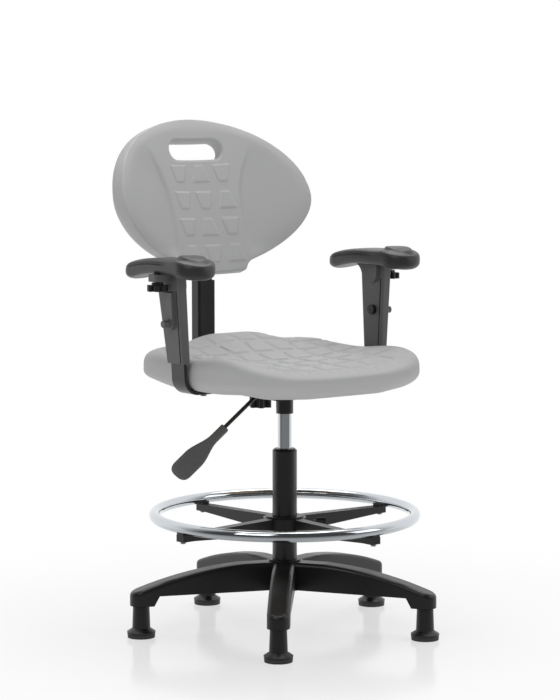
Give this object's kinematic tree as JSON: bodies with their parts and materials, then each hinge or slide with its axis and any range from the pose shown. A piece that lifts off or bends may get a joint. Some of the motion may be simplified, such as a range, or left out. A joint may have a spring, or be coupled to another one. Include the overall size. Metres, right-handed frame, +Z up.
{
  "type": "drafting chair",
  "caption": "Drafting chair with a moulded seat and back, adjustable arms, gas lift, chrome foot ring and a star base on bell glides.",
  "frame": {"origin": "on the floor under the swivel axis", "axes": "+Z up along the swivel axis; the sitter faces -Y; +X is the sitter's left"},
  "size_m": [0.6335, 0.6483, 1.0311],
  "materials": {
    "black_plastic": "satin",
    "knob_plastic": "satin",
    "foot_pad": "matte",
    "black_steel": "satin",
    "chrome": "polished",
    "zinc_steel": "satin",
    "bumper_rubber": "matte",
    "plywood": "matte",
    "moulded_foam": "matte",
    "arm_foam": "matte"
  },
  "bodies": {
    "base": {"base_star": "black_plastic", "glide_bell_1": "black_plastic", "glide_bell_2": "black_plastic", "glide_bell_3": "black_plastic", "glide_bell_4": "black_plastic", "glide_bell_5": "black_plastic", "glide_pad_1": "foot_pad", "glide_pad_2": "foot_pad", "glide_pad_3": "foot_pad", "glide_pad_4": "foot_pad", "glide_pad_5": "foot_pad", "glide_stems": "zinc_steel", "column_tube": "black_steel", "column_bush": "black_plastic"},
    "lift_rod": {"gas_rod": "zinc_steel", "thrust_bearing": "zinc_steel", "bump_stop": "bumper_rubber", "rod_clip": "zinc_steel"},
    "seat": {"lift_tube": "chrome", "lift_socket": "black_steel", "seat_plate": "black_steel", "bar_guide": "black_steel", "lever_pin": "zinc_steel", "seat_cushion": "moulded_foam", "seat_board": "plywood", "seat_bolts": "zinc_steel", "arm_bracket_left": "black_steel", "arm_bracket_right": "black_steel", "arm_foot_bolts_left": "zinc_steel", "arm_foot_bolts_right": "zinc_steel"},
    "lever": {"lever_rod": "zinc_steel", "lever_paddle": "black_plastic"},
    "release": {"release_pin": "zinc_steel"},
    "back_slide": {"back_bar": "black_steel", "upright_cover": "black_plastic"},
    "depth_clamp": {"depth_knob": "knob_plastic"},
    "back": {"back_shell": "moulded_foam", "back_insert": "black_steel", "back_bracket": "black_steel", "back_screws": "zinc_steel"},
    "back_clamp": {"back_knob": "knob_plastic"},
    "footring": {"footring_tube": "chrome", "footring_spider": "black_plastic", "footring_collet": "black_plastic", "footring_screws": "zinc_steel"},
    "footring_clamp": {"footring_knob": "knob_plastic"},
    "arm_left": {"arm_sleeve_left": "black_plastic", "arm_bolt_left": "zinc_steel", "arm_nut_left": "zinc_steel"},
    "armpad_left": {"arm_pad_left": "arm_foam", "arm_pad_plate_left": "black_steel"},
    "arm_clamp_left": {"arm_knob_left": "knob_plastic"},
    "arm_right": {"arm_sleeve_right": "black_plastic", "arm_bolt_right": "zinc_steel", "arm_nut_right": "zinc_steel"},
    "armpad_right": {"arm_pad_right": "arm_foam", "arm_pad_plate_right": "black_steel"},
    "arm_clamp_right": {"arm_knob_right": "knob_plastic"}
  },
  "joints": [
    {"name": "swivel", "type": "hinge", "parent": "base", "child": "lift_rod", "pos_m": [0, 0, 0.082], "axis": [0, 0, 1], "continuous": true},
    {"name": "lift", "type": "slide", "parent": "lift_rod", "child": "seat", "axis": [0, 0, 1], "range_m": [-0.07, 0.06]},
    {"name": "lever_pull", "type": "hinge", "parent": "seat", "child": "lever", "pos_m": [-0.032, 0, 0.4908], "axis": [0, 1, 0], "range_deg": [0, 4.5], "stiffness_Nm_per_rad": 1.5},
    {"name": "release_push", "type": "slide", "parent": "seat", "child": "release", "axis": [0, 0, 1], "range_m": [-0.0028, 0], "stiffness_N_per_m": 200},
    {"name": "back_depth", "type": "slide", "parent": "seat", "child": "back_slide", "axis": [0, 1, 0], "range_m": [-0.015, 0.03]},
    {"name": "depth_knob_turn", "type": "hinge", "parent": "seat", "child": "depth_clamp", "pos_m": [0, 0.083, 0.478], "axis": [0, 0, -1], "range_deg": [0, 360]},
    {"name": "back_height", "type": "slide", "parent": "back_slide", "child": "back", "axis": [0, 0.3007, 0.9537], "range_m": [0, 0.05]},
    {"name": "back_knob_turn", "type": "hinge", "parent": "back", "child": "back_clamp", "pos_m": [0, 0.30851, 0.77312], "axis": [0, 0.9537, -0.3007], "range_deg": [0, 360]},
    {"name": "footring_height", "type": "slide", "parent": "base", "child": "footring", "axis": [0, 0, 1], "range_m": [-0.02, 0.07]},
    {"name": "footring_knob_turn", "type": "hinge", "parent": "footring", "child": "footring_clamp", "pos_m": [0.03428, -0.02678, 0.218], "axis": [0.788, -0.6157, 0], "range_deg": [0, 360]},
    {"name": "arm_height_left", "type": "slide", "parent": "seat", "child": "arm_left", "axis": [0.0576, 0, 0.9983], "range_m": [-0.03, 0.03]},
    {"name": "armpad_turn_left", "type": "hinge", "parent": "arm_left", "child": "armpad_left", "pos_m": [0.29349, 0.024, 0.737], "axis": [0, 0, 1], "range_deg": [-20, 20]},
    {"name": "arm_knob_turn_left", "type": "hinge", "parent": "arm_left", "child": "arm_clamp_left", "pos_m": [0.29349, 0.024, 0.723], "axis": [0, 0, -1], "range_deg": [0, 360]},
    {"name": "arm_height_right", "type": "slide", "parent": "seat", "child": "arm_right", "axis": [-0.0576, 0, 0.9983], "range_m": [-0.03, 0.03]},
    {"name": "armpad_turn_right", "type": "hinge", "parent": "arm_right", "child": "armpad_right", "pos_m": [-0.29349, 0.024, 0.737], "axis": [0, 0, 1], "range_deg": [-20, 20]},
    {"name": "arm_knob_turn_right", "type": "hinge", "parent": "arm_right", "child": "arm_clamp_right", "pos_m": [-0.29349, 0.024, 0.723], "axis": [0, 0, -1], "range_deg": [0, 360]}
  ],
  "couplings": [
    {"joint": "release_push", "follows": "lever_pull", "m_per_rad": -0.0345}
  ]
}
